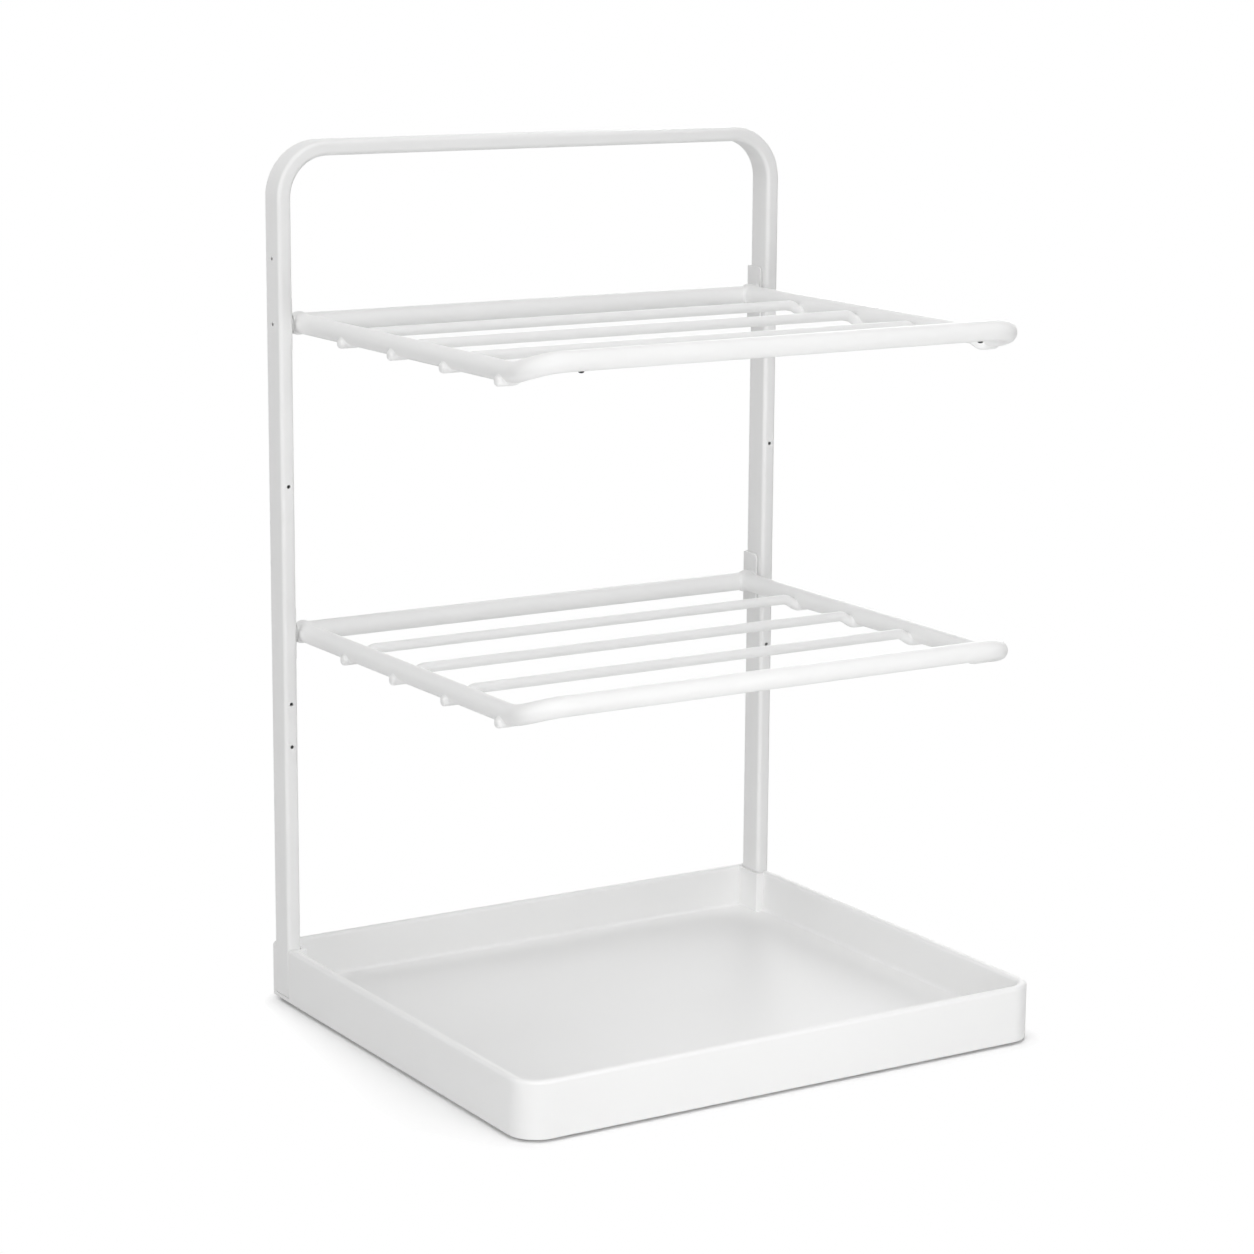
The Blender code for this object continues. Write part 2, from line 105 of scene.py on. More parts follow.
def skin(name, grid, loop=False):
    """A closed mesh from rings of points: quads from each ring to the next, and caps on the two end
    rings. With loop set, the last ring joins the first instead."""
    rows, columns = grid.shape[:2]
    index = np.arange(rows * columns).reshape(rows, columns)
    here = index if loop else index[:-1]
    above = np.roll(index, -1, axis=0) if loop else index[1:]
    quad = [here, np.roll(here, -1, 1), np.roll(above, -1, 1), above]
    faces = np.stack(quad, axis=-1).reshape(-1, 4).tolist()
    if not loop:
        faces += [index[0, ::-1].tolist(), index[-1].tolist()]
    points = grid.reshape(-1, 3)
    mesh = bpy.data.meshes.new(name)
    mesh.from_pydata(points, [], outward(points, faces))
    mesh.shade_smooth()
    mesh.set_sharp_from_angle(angle=SHARP_ANGLE)
    obj = bpy.data.objects.new(name, mesh)
    bpy.context.scene.collection.objects.link(obj)
    return obj


print("helpers ready: outward, skin")

# %% [markdown]
# A foot, a plug and a straight hole are turned, as on a lathe: a radius at each height is carried
# round an axis, which gives the rings at once.

# %% Turned pieces
TURNED_SIDES = 48


def turned(name, radius, along, centre, axis="Z", sides=TURNED_SIDES):
    """A surface of revolution: the radius at each height, carried round the axis in a circle."""
    angle = np.linspace(0, 2 * math.pi, sides, endpoint=False)
    radius, along = np.broadcast_arrays(np.asarray(radius, float), np.asarray(along, float))
    u = radius[:, None] * np.cos(angle)
    v = radius[:, None] * np.sin(angle)
    w = np.repeat(along[:, None], sides, axis=1)
    order = {"X": (w, u, v), "Y": (v, w, u), "Z": (u, v, w)}[axis]
    return skin(name, np.stack(order, axis=-1) + np.asarray(centre))


print("helper ready: turned")

# %% [markdown]
# Sections and profiles are made of flats and arcs. Smooth shading blends a flat into the arc beside
# it and makes it look bulged, so each arc gets a support point a little way out on either flat.

# %% Outlines and arcs


def rounded_outline(half, radii, steps, support):
    """Outline of a rectangle with round corners, anticlockwise from the back right one. Each corner
    is a quarter circle. A support point on the straight stretch before it and after it keeps the
    flat sides flat in smooth shading. half and radii may have leading axes, for many outlines."""
    half, radii = np.asarray(half, float), np.asarray(radii, float)
    sign = np.array([[1, 1], [-1, 1], [-1, -1], [1, -1]])
    centre = sign * (half[..., None, :] - radii[..., None])
    angle = np.arange(4)[:, None] * math.pi / 2 + np.linspace(0, math.pi / 2, steps + 1)
    circle = np.stack([np.cos(angle), np.sin(angle)], axis=-1)
    arc = centre[..., None, :] + radii[..., None, None] * circle
    forward = np.stack([-np.sin(angle), np.cos(angle)], axis=-1)
    before = arc[..., :1, :] - support * forward[:, :1]
    after = arc[..., -1:, :] + support * forward[:, -1:]
    corner = np.concatenate([before, arc, after], axis=-2)
    return corner.reshape(*corner.shape[:-3], -1, 2)


def fillet(centre, radius, start, end, steps, support):
    """Part of a profile: an arc between two angles in degrees, with a support point at each end."""
    angle = np.radians(np.linspace(start, end, steps + 1))
    arc = np.array(centre) + radius * np.column_stack([np.cos(angle), np.sin(angle)])
    tangent = np.sign(end - start) * np.column_stack([-np.sin(angle), np.cos(angle)])
    return np.vstack([arc[:1] - support * tangent[:1], arc, arc[-1:] + support * tangent[-1:]])


print("helpers ready: rounded_outline, fillet")

# %% [markdown]
# ## Holes and pockets
#
# A hole through a smooth wall is hard to write as a grid. A Boolean modifier does it well, so the
# wall is made as a grid first, the cutters are made with the same helpers, and the result is kept
# as a plain mesh with the modifiers gone.

# %% Boolean helper


def carved(obj, changes):
    """The object after every (operation, cutter), as a finished mesh. The cutters are removed."""
    for operation, cutter in changes:
        modifier = obj.modifiers.new(cutter.name, "BOOLEAN")
        modifier.operation = operation
        modifier.object = cutter
    bpy.context.view_layer.update()
    graph = bpy.context.evaluated_depsgraph_get()
    mesh = bpy.data.meshes.new_from_object(obj.evaluated_get(graph))
    obj.modifiers.clear()
    obj.data = mesh
    mesh.shade_smooth()
    mesh.set_sharp_from_angle(angle=SHARP_ANGLE)
    for _, cutter in changes:
        bpy.data.objects.remove(cutter)
    return obj


print("Boolean helper ready: carved")

# %% [markdown]
# ## The tray
#
# The real tray is one injection moulding: upright walls with a softly rounded rim, big round
# corners in front and small ones at the back. Its wall is a profile of arcs (heel, outer rim, inner
# rim, floor fillet) carried round the outline. Each profile point has an inset, and the whole
# outline shrinks by that inset, so the corner radii stay concentric as they do in a real mould.

# %% Tray wall and floor
TRAY_WALL = 0.0052
TRAY_FRONT_RADIUS = 0.016
TRAY_BACK_RADIUS = 0.003
RIM_ROUND = 0.002
HEEL_ROUND = 0.0006
FLOOR_FILLET = 0.002
ARC_STEPS = 10
CORNER_STEPS = 24
SUPPORT = 0.0004
tray_half = (tray_high - tray_low)[:2] / 2
rim_top = tray_high[2]
floor_corner = (TRAY_WALL + FLOOR_FILLET, floor_top + FLOOR_FILLET)
profile = np.vstack([
    fillet((HEEL_ROUND, tray_low[2] + HEEL_ROUND), HEEL_ROUND, 270, 180, ARC_STEPS, SUPPORT),
    fillet((RIM_ROUND, rim_top - RIM_ROUND), RIM_ROUND, 180, 90, ARC_STEPS, SUPPORT),
    fillet((TRAY_WALL - RIM_ROUND, rim_top - RIM_ROUND), RIM_ROUND, 90, 0, ARC_STEPS, SUPPORT),
    fillet(floor_corner, FLOOR_FILLET, 180, 270, ARC_STEPS, SUPPORT),
])
inset = profile[:, :1]
radii = np.array([TRAY_BACK_RADIUS, TRAY_BACK_RADIUS, TRAY_FRONT_RADIUS, TRAY_FRONT_RADIUS])
inset_radii = np.maximum(radii - inset, HEEL_ROUND)
outlines = rounded_outline(tray_half - inset, inset_radii, CORNER_STEPS, SUPPORT)
heights = np.broadcast_to(profile[:, 1:, None], (*outlines.shape[:2], 1))
tray = skin("tray_moulding", np.concatenate([outlines, heights], axis=-1))
print("tray wall:", len(tray.data.polygons), "faces")

# %% [markdown]
# At each back corner the moulding has a socket for the frame's post. A block is added here, with
# its top a hair below the rim, and the notch that is cut next leaves a thin wall of it. GAP is the
# play of an easy fit and SNUG that of a close one. PAST is how far a cutter reaches past a face, so
# that no two faces coincide.

# %% Sockets
GAP = 0.0003
SNUG = 0.00005
PAST = 0.002
SOCKET_WALL = 0.002
SOCKET_DROP = 0.0004
inner_x = post_x - TUBE_WIDTH / 2 - GAP
notch_front, notch_back = tube_low[1] - GAP, tube_high[1] + SNUG


def upright(name, low, high, bottom, top, radius):
    """A straight prism: a rounded rectangle from low to high in plan, between two heights. The
    radius is one number, or one for each corner from the back right round by the left."""
    low, high = np.array(low), np.array(high)
    centre, radii = (low + high) / 2, np.broadcast_to(radius, 4)
    outline = centre + rounded_outline((high - low) / 2, radii, ARC_STEPS, radii.min() / 4)
    rings = [np.column_stack([outline, np.full(len(outline), z)]) for z in (bottom, top)]
    return skin(name, np.array(rings))


def both_sides(low_x, high_x):
    """The span of a feature on the right, and its mirror image on the left."""
    return {"right": (low_x, high_x), "left": (-high_x, -low_x)}


changes = []
socket_bottom, socket_top = floor_top - PAST / 2, rim_top - SOCKET_DROP
blocks = both_sides(inner_x - SOCKET_WALL, tray_high[0] - TRAY_WALL / 2)
for side, (low_x, high_x) in blocks.items():
    low, high = (low_x, notch_front - SOCKET_WALL), (high_x, (notch_back + tray_high[1]) / 2)
    socket = upright(f"socket_{side}", low, high, socket_bottom, socket_top, HEEL_ROUND)
    changes.append(("UNION", socket))
print("socket blocks:", len(changes))

# %% [markdown]
# The notch takes the post. It is open to the outer side, so the post stands flush with the tray,
# and its floor is a thin ledge. At the back it hugs the post's round corner, so the strip behind
# the post looks like one face with it.

# %% Notches
LEDGE_THICKNESS = 0.0025
TUBE_ROUND = 0.0022
ledge_top = tray_low[2] + LEDGE_THICKNESS
hug = TUBE_ROUND + SNUG
notch_radii = {
    "right": (hug, HEEL_ROUND, HEEL_ROUND, HEEL_ROUND),
    "left": (HEEL_ROUND, hug, HEEL_ROUND, HEEL_ROUND),
}
for side, (low_x, high_x) in both_sides(inner_x, tray_high[0] + SNUG).items():
    low, high = (low_x, notch_front), (high_x, notch_back)
    notch = upright(f"notch_{side}", low, high, ledge_top, rim_top + PAST, notch_radii[side])
    changes.append(("DIFFERENCE", notch))
print("notches:", ", ".join(notch_radii))

# %% [markdown]
# Under the floor, shallow cells leave a grid of ribs, as mouldings have to keep a large flat floor
# stiff. The back row is narrower, because the sockets stand at its two ends.

# %% Ribs
UNDERSIDE_RIB = 0.002
UNDERSIDE_COLUMNS = 3
cell_y = tray_half[1] - TRAY_WALL
cell_radius = TRAY_FRONT_RADIUS - TRAY_WALL
for row, half_x in ((-1, tray_half[0] - TRAY_WALL), (1, inner_x - SOCKET_WALL)):
    pitch = (2 * half_x + UNDERSIDE_RIB) / UNDERSIDE_COLUMNS
    low_y, high_y = sorted((row * UNDERSIDE_RIB / 2, row * cell_y))
    for column in range(UNDERSIDE_COLUMNS):
        low_x = -half_x + column * pitch
        high_x = low_x + pitch - UNDERSIDE_RIB
        bottom, top = tray_low[2] - PAST, tray_low[2] + UNDERSIDE_DEPTH
        low, high = (low_x, low_y), (high_x, high_y)
        cell = upright(f"cell_{row}_{column}", low, high, bottom, top, cell_radius)
        changes.append(("DIFFERENCE", cell))
print("changes so far:", len(changes))

# %% [markdown]
# A screw comes up through each ledge into the peg. Its hole is a cone for the head and a straight
# bore for the shank, with a little play. With the last cutters made, the tray is carved in one go.

# %% Screw holes
SCREW_RADIUS = 0.00125
SCREW_HEAD_RADIUS = 0.0023
SCREW_HEAD_HEIGHT = 0.0011
slope = (SCREW_HEAD_RADIUS - SCREW_RADIUS) / SCREW_HEAD_HEIGHT
bore_radii = [SCREW_HEAD_RADIUS + GAP + slope * PAST, SCREW_RADIUS + GAP, SCREW_RADIUS + GAP]
bore_heights = [tray_low[2] - PAST, tray_low[2] + SCREW_HEAD_HEIGHT, ledge_top + PAST]
for sign in (-1, 1):
    bore = turned(f"bore_{sign}", bore_radii, bore_heights, (sign * post_x, post_y, 0))
    changes.append(("DIFFERENCE", bore))
carved(tray, changes)
pieces = [(tray, "tray", "base", "tray_plastic")]
print("tray with sockets and ribs:", len(tray.data.polygons), "faces")

# %% [markdown]
# ## The back frame
#
# A flat steel tube is bent twice into an upside-down U. Its section is a rounded rectangle, carried
# along a path of two uprights, two quarter circles and the top bar. The same section, shrunk by the
# wall, makes the bore, and the two skins join at the tube's open feet. The small round holes are
# punched afterwards.

# %% Bent tube
TUBE_WALL = 0.0012
BEND_RADIUS = 0.026
BEND_STEPS = 32
bend_z = tube_high[2] - TUBE_WIDTH / 2 - BEND_RADIUS
bend_x = post_x - BEND_RADIUS
left_bend = fillet((-bend_x, bend_z), BEND_RADIUS, 180, 90, BEND_STEPS, SUPPORT)
right_bend = left_bend[::-1] * (-1, 1)
path = np.vstack([[(-post_x, tube_low[2])], left_bend, right_bend, [(post_x, tube_low[2])]])
# The normal points away from the bend's centre on the arcs, and straight out or up elsewhere
hub = np.column_stack([np.clip(path[:, 0], -bend_x, bend_x), np.minimum(path[:, 1], bend_z)])
spoke = path - hub
normal = spoke / np.linalg.norm(spoke, axis=1, keepdims=True)


def tube_rings(shrink):
    """The section at every path point, its width along the path's normal and its depth along Y."""
    half = np.array([TUBE_WIDTH, tube_high[1] - tube_low[1]]) / 2 - shrink
    section = rounded_outline(half, [TUBE_ROUND - shrink] * 4, ARC_STEPS, SUPPORT)
    x = path[:, :1] + normal[:, :1] * section[:, 0]
    z = path[:, 1:] + normal[:, 1:] * section[:, 0]
    y = np.broadcast_to(post_y + section[:, 1], x.shape)
    return np.stack([x, y, z], axis=-1)


rings = np.concatenate([tube_rings(0), tube_rings(TUBE_WALL)[::-1]])
tube = skin("bent_tube_frame", rings, loop=True)
print("bent tube:", len(tube.data.polygons), "faces")

# %% [markdown]
# Each post has two punched holes in its outer face, near the top, and three in its front face. The
# pins of the shelves enter through the inner face. A hole's cutter is a plain turned cylinder along
# X or Y that reaches from outside the tube to its middle.

# %% Punched holes
HOLE_RADIUS = 0.00105
PIN_RADIUS = 0.0016
FRONT_HOLE_HEIGHTS = (0.147, 0.171, 0.291)
SPARE_HOLE_DROP = 0.062
levels = {name: float(sum(corners(f"{name}_back_rail"))[2] / 2) for name in ("upper", "lower")}
punches = []
for sign in (-1, 1):
    outside, inside = sign * (tube_high[0] + PAST), sign * (inner_x - PAST)
    for height in (levels["upper"], tube_high[2] - SPARE_HOLE_DROP):
        span = sorted((sign * post_x, outside))
        punches.append(turned("outer_hole", [HOLE_RADIUS] * 2, span, (0, post_y, height), "X"))
    for height in levels.values():
        span = sorted((inside, sign * (post_x - GAP)))
        punches.append(turned("pin_hole", [PIN_RADIUS + GAP] * 2, span, (0, post_y, height), "X"))
    for height in FRONT_HOLE_HEIGHTS:
        span, place = (tube_low[1] - PAST, post_y), (sign * post_x, 0, height)
        punches.append(turned("front_hole", [HOLE_RADIUS] * 2, span, place, "Y"))
carved(tube, [("DIFFERENCE", punch) for punch in punches])
pieces.append((tube, "back_frame", "rack", "white_powder_coat"))
print("punched tube:", len(tube.data.polygons), "faces")

# %% [markdown]
# ## The shelf rods
#
# Each shelf is a rack of round rods welded together. The rim rod is one bent rod: it comes forward
# on the left, turns the corner, runs along the front a little higher than the sides, and goes back
# on the right. A path gives its middle line, and a circle is carried along it at right angles to
# the path.

# %% Rim rod path
ROD_BEND = 0.015
RISE_LEAD = 0.011
ROD_SIDES = 40
RISE_STEPS = 24


def smooth_step(share):
    """0 below 0, 1 above 1, and 3t^2 - 2t^3 between, which starts and ends level."""
    share = np.clip(share, 0, 1)
    return share**2 * (3 - 2 * share)


def rim_path(name):
    """Back to front on the left side, round the corner, along the front and back again. The height
    follows a smooth step of the distance travelled, from shortly before the bend to its end."""
    low, high = corners(f"{name}_rim_rod")
    rail_low, rail_high = corners(f"{name}_back_rail")
    radius = (rail_high[2] - rail_low[2]) / 2
    side_x, front_y, back_y = high[0] - radius, low[1] + radius, (rail_low[1] + rail_high[1]) / 2
    rise = high[2] - low[2] - 2 * radius
    bend_y = front_y + ROD_BEND
    lead = np.linspace(RISE_LEAD, 2 * SUPPORT, RISE_STEPS)
    side = np.column_stack([np.full(RISE_STEPS, -side_x), bend_y + lead])
    corner = fillet((ROD_BEND - side_x, bend_y), ROD_BEND, 180, 270, RISE_STEPS, SUPPORT)
    plan = np.vstack([[(-side_x, back_y)], side, corner])
    travel = np.concatenate([[0], np.cumsum(np.linalg.norm(np.diff(plan, axis=0), axis=1))])
    share = (travel - travel[1]) / (RISE_LEAD + ROD_BEND * math.pi / 2)
    left = np.column_stack([plan, levels[name] + rise * smooth_step(share)])
    return np.vstack([left, left[::-1] * (-1, 1, 1)]), radius


rims = {name: rim_path(name) for name in levels}
line, radius = rims["upper"]
print("rim rod:", len(line), "path points, radius", round(radius * MM, 2), "mm")

# %% [markdown]
# Where one rod is welded to another, paint and weld metal fill the crease, so the thinner rod seems
# to flare out as it meets the thicker one. That is worked out from distance: a point closer to the
# other rod's skin than the weld's size moves outwards, by weld * (1 - distance / weld)^2.

# %% Swept rods with welded flares
WELD = 0.0011


def distance_to_path(points, line):
    """Least distance of each point from a chain of straight stretches: the foot of the
    perpendicular on each stretch, held between its ends."""
    start, step = line[:-1], np.diff(line, axis=0)
    past = points[:, None] - start
    along = np.einsum("psi,si->ps", past, step) / np.einsum("si,si->s", step, step)
    foot = start + np.clip(along, 0, 1)[..., None] * step
    return np.linalg.norm(points[:, None] - foot, axis=-1).min(axis=1)


def swept_rod(name, line, radius, sides, welds=()):
    """Circles of the given radius, one at right angles to each path point, with flares at the
    welds. radius is one number, or one for each path point, so that an end can be rounded over."""
    tangent = np.gradient(line, axis=0)
    across = np.cross(tangent, (0, 0, 1))
    across /= np.linalg.norm(across, axis=1, keepdims=True)
    upward = np.cross(across, tangent)
    upward /= np.linalg.norm(upward, axis=1, keepdims=True)
    angle = np.linspace(0, 2 * math.pi, sides, endpoint=False)
    spokes = across[:, None] * np.cos(angle)[:, None] + upward[:, None] * np.sin(angle)[:, None]
    grid = line[:, None] + spokes * np.broadcast_to(radius, len(line))[:, None, None]
    for other, other_radius in welds:
        near = distance_to_path(grid.reshape(-1, 3), other).reshape(grid.shape[:2]) - other_radius
        flare = WELD * np.clip(1 - np.maximum(near, 0) / WELD, 0, 1) ** 2
        grid = grid + spokes * flare[..., None]
    return skin(name, grid)


print("helper ready: swept_rod, with flares of", WELD * MM, "mm")

# %% [markdown]
# The rim rod's two ends are welded to the back rail, so its path gets many close rings there to
# carry the flare.

# %% Rim rods
NEAR_STEPS = 30
rails = {}
for name, (line, radius) in rims.items():
    rail_low, rail_high = corners(f"{name}_back_rail")
    middle = (rail_low + rail_high) / 2
    rails[name] = np.array([(rail_low[0], *middle[1:]), (rail_high[0], *middle[1:])])
    near_rail = line[0] + np.linspace(0, 1, NEAR_STEPS)[:, None] * (0, -2 * radius, 0)
    fine = np.vstack([near_rail, line[1:-1], near_rail[::-1] * (-1, 1, 1)])
    rod = swept_rod(f"{name}_rim", fine, radius, ROD_SIDES, [(rails[name], radius)])
    pieces.append((rod, f"{name}_rim_rod", "rack", "white_powder_coat"))
print("rim rods:", len(rod.data.polygons), "faces each")

# %% [markdown]
# The back rail is a straight rod between the two end plates. Its ends flare into the plates the
# same way, with the distance measured to the plate, so the radius is one short formula along X.

# %% Back rails
RAIL_STEPS = 60
for name, line in rails.items():
    half = line[1, 0]
    x = half * np.sin(np.linspace(-math.pi / 2, math.pi / 2, RAIL_STEPS))
    flare = WELD * np.clip(1 - (half - np.abs(x)) / WELD, 0, 1) ** 2
    rail = turned(f"{name}_rail", rims[name][1] + flare, x, (0, *line[0, 1:]), "X", ROD_SIDES)
    pieces.append((rail, f"{name}_back_rail", "rack", "white_powder_coat"))
print("back rails:", len(rail.data.polygons), "faces each")

# %% [markdown]
# Four cross wires run from side to side. Each is cranked: its ends dip under the side rods, where
# the weld presses them in and the sheared tips stand out as small round nubs, and its middle lies
# between the rods. The crank is a smooth step along X. An end is rounded by letting the radius fall
# along a quarter ellipse.

# %% Cross wires
WIRES = 4
WIRE_SIDES = 28
END_ROUND = 0.0018
END_FLAT = 0.0011
END_STEPS = 10
FINE_STEP = 0.0004
PLAIN_STEP = 0.006
PLACE_DIGITS = 6
CRANK_START = 0.0025
CRANK_RUN = 0.0105


def end_radius(distance, radius):
    """Radius at a distance from a wire's end: a quarter ellipse that starts from a small flat."""
    share = np.clip(distance / END_ROUND, 0, 1)
    return END_FLAT + (radius - END_FLAT) * np.sqrt(1 - (1 - share) ** 2)


def stations(low, high, busy):
    """Places along a wire: far apart on plain stretches, close together near a busy place."""
    plain = np.arange(low, high, PLAIN_STEP)
    round_end = END_ROUND * (1 - np.cos(np.linspace(0, math.pi / 2, END_STEPS)))
    close = [np.arange(place - reach, place + reach, FINE_STEP) for place, reach in busy]
    every = np.concatenate([plain, low + round_end, high - round_end, *close])
    every = np.unique(np.round(every[(every >= low) & (every <= high)], PLACE_DIGITS))
    return every[np.concatenate([[True], np.diff(every) > FINE_STEP / 4])]


for name, (line, radius) in rims.items():
    side_x = line[-1, 0]
    reach = radius + 2 * WELD + CRANK_RUN
    for number in range(1, WIRES + 1):
        node = f"{name}_cross_wire_{number}"
        low, high = corners(node)
        wire_radius = (high[1] - low[1]) / 2
        x = stations(low[0], high[0], [(-side_x, reach), (side_x, reach)])
        crank = smooth_step((side_x - CRANK_START - np.abs(x)) / CRANK_RUN)
        z = low[2] + wire_radius + (high[2] - low[2] - 2 * wire_radius) * crank
        wire_line = np.column_stack([x, np.full(len(x), (low[1] + high[1]) / 2), z])
        radii = end_radius(np.minimum(x - low[0], high[0] - x), wire_radius)
        wire = swept_rod(f"{node}_rod", wire_line, radii, WIRE_SIDES, [(line, radius)])
        pieces.append((wire, node, "rack", "white_powder_coat"))
print("cross wires:", len(wire.data.polygons), "faces each")

# %% [markdown]
# ## The end plates
#
# A plate bent at a right angle holds each back corner of a shelf: one leaf lies on the post's inner
# face, the other reaches behind the post and stops the shelf from tipping. The bend's path runs
# along the middle of the sheet, and a thin section with round edges is carried along it. Near the
# plate's two ends the section gets shorter along a circle, which rounds the plate's corners.

# %% End plates
PLATE_THICKNESS = 0.0012
PLATE_CORNER = 0.003
PLATE_EDGE = 0.0004
PLATE_BEND = 0.0012
EDGE_STEPS = 5


def end_plate(node, sign):
    """Sections of a bent plate. At a distance d from an end, the half-height is less by the gap
    between a circle of radius r and its tangent, r - sqrt(r^2 - (r - d)^2)."""
    low, high = corners(node)
    if sign < 0:
        low[0], high[0] = -high[0], -low[0]
    half_thick = PLATE_THICKNESS / 2
    sheet_x, sheet_y = low[0] + half_thick, high[1] - half_thick
    bend_centre = (sheet_x + PLATE_BEND, sheet_y - PLATE_BEND)
    bend = fillet(bend_centre, PLATE_BEND, 180, 90, ARC_STEPS, SUPPORT)
    corner = PLATE_CORNER * (1 - np.cos(np.linspace(0, math.pi / 2, ARC_STEPS)))
    front = np.column_stack([np.full(ARC_STEPS, sheet_x), low[1] + corner])
    wrap = np.column_stack([high[0] - corner[::-1], np.full(ARC_STEPS, sheet_y)])
    plan = np.vstack([front, bend, wrap])
    length = np.concatenate([[0], np.cumsum(np.linalg.norm(np.diff(plan, axis=0), axis=1))])
    from_end = np.minimum(np.minimum(length, length[-1] - length), PLATE_CORNER)
    drop = PLATE_CORNER - np.sqrt(PLATE_CORNER**2 - (PLATE_CORNER - from_end) ** 2)
    tangent = np.gradient(plan, axis=0)
    side = np.column_stack([tangent[:, 1], -tangent[:, 0]])
    side /= np.linalg.norm(side, axis=1, keepdims=True)
    half_high = (high[2] - low[2]) / 2 - drop
    halves = np.column_stack([np.full(len(plan), half_thick), half_high])
    edges = np.full((len(plan), 4), PLATE_EDGE)
    section = rounded_outline(halves, edges, EDGE_STEPS, PLATE_EDGE / 4)
    xy = plan[:, None] + side[:, None] * section[..., :1]
    z = section[..., 1:] + (low[2] + high[2]) / 2
    return skin(f"{node}_leaf", np.concatenate([xy, z], axis=-1) * (sign, 1, 1))


for name in levels:
    for side, sign in (("left", -1), ("right", 1)):
        plate = end_plate(f"{name}_end_plate_{side}", sign)
        pieces.append((plate, f"{name}_end_plate_{side}", "rack", "white_powder_coat"))
print("end plates:", len(plate.data.polygons), "faces each")

# %% [markdown]
# ## Feet, plugs and screws
#
# The tray stands on four low rubber pads. A pad is turned: its sole is flat with a round edge and a
# shallow ring, which grips. The ring is a bell curve over the share of the sole's radius. The
# innermost ring of points is small but not nothing, because a ring of no size would fold its faces.

# %% Feet
FOOT_ROUND = 0.0008
FOOT_SUPPORT = 0.0002
FOOT_SIDES = 64
POLAR_RINGS = 40
FIRST_RING = 0.02
GROOVE_DEPTH = 0.0003
GROOVE_PLACE, GROOVE_WIDTH = 0.7, 0.08
feet = sorted(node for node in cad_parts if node.startswith("foot_"))
for node in feet:
    low, high = corners(node)
    foot_radius = (high[0] - low[0]) / 2
    share = np.linspace(FIRST_RING, 1, POLAR_RINGS)
    sole_radius = share * (foot_radius - FOOT_ROUND)
    groove = GROOVE_DEPTH * np.exp(-(((share - GROOVE_PLACE) / GROOVE_WIDTH) ** 2))
    edge_centre = (foot_radius - FOOT_ROUND, FOOT_ROUND)
    edge = fillet(edge_centre, FOOT_ROUND, 270, 360, ARC_STEPS, FOOT_SUPPORT)[2:]
    sole = np.column_stack([sole_radius, groove])
    pad_radius, pad_height = np.vstack([sole, edge, [(foot_radius, high[2])]]).T
    centre = (low + high) / 2
    pad = turned(f"{node}_pad", pad_radius, pad_height, (*centre[:2], 0), sides=FOOT_SIDES)
    pieces.append((pad, node, "base", "black_rubber"))
print("feet:", ", ".join(feet))

# %% [markdown]
# Two small domed plugs close the vent holes under the upper front rail. A dome is a quarter
# ellipse, turned, and a thin stem goes up into the rod.

# %% Plugs
PLUG_DROP = 0.0008
PLUG_STEM_RADIUS = 0.001
DOME_START = 0.05
for side in ("left", "right"):
    node = f"upper_vent_plug_{side}"
    low, high = corners(node)
    dome = np.linspace(DOME_START, math.pi / 2, ARC_STEPS)
    head_radius = (high[0] - low[0]) / 2
    radius = np.concatenate([head_radius * np.sin(dome), [PLUG_STEM_RADIUS, PLUG_STEM_RADIUS]])
    height = np.concatenate([-PLUG_DROP * np.cos(dome), [0, high[2] - low[2] - PLUG_DROP]])
    plug = turned(f"{node}_dome", radius, height + low[2] + PLUG_DROP, (*(low + high)[:2] / 2, 0))
    pieces.append((plug, node, "rack", "black_rubber"))
print("plugs:", round(head_radius * 2 * MM, 1), "mm wide")

# %% [markdown]
# The two screw heads show from below, so they get a cross-shaped recess: a dip in the head's face
# where the point lies in either of two narrow bars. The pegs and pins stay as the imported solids,
# because they are hidden inside the tubes.

# %% Screws
POLAR_SIDES = 96
RECESS_DEPTH = 0.0008
RECESS_WIDTH = 0.00045
RECESS_REACH = 0.0014


def screw(node):
    """Rings from the middle of the head's face outwards, up the cone and along the shank. Inside
    the recess's cross the face dips, fully in the middle and to nothing at its reach."""
    low, high = corners(node)
    ring = np.linspace(FIRST_RING, 1, POLAR_RINGS)[:, None] * SCREW_HEAD_RADIUS
    angle = np.linspace(0, 2 * math.pi, POLAR_SIDES, endpoint=False)
    x, y = ring * np.cos(angle), ring * np.sin(angle)
    bar = np.minimum(np.abs(x), np.abs(y)) < RECESS_WIDTH
    dip = RECESS_DEPTH * bar * np.clip((RECESS_REACH - ring) / (RECESS_REACH / 3), 0, 1)
    face = np.stack([x, y, low[2] + dip], axis=-1)
    circle = np.column_stack([np.cos(angle), np.sin(angle)])
    shank = [(SCREW_RADIUS, low[2] + SCREW_HEAD_HEIGHT), (SCREW_RADIUS, high[2])]
    rest = [np.column_stack([radius * circle, np.full(POLAR_SIDES, z)]) for radius, z in shank]
    centre = (low + high) / 2
    return skin(f"{node}_cross_head", np.concatenate([face, np.array(rest)]) + (*centre[:2], 0))


for side in ("left", "right"):
    pieces.append((screw(f"peg_screw_{side}"), f"peg_screw_{side}", "base", "zinc_steel"))
print("pieces so far:", len(pieces))

# %% [markdown]
# ## Shader maths as plain expressions
#
# A material is a graph of nodes, and formulas in it are easier to read as Python. The small class
# below wraps one output socket. Adding, subtracting, multiplying or dividing two of them, or taking
# a power, adds a Math node and returns its output, so `0.4 + 0.1 * noise` is a working shader
# expression. Each operator has its reflected form, for a plain number on the left.

# %% Socket class


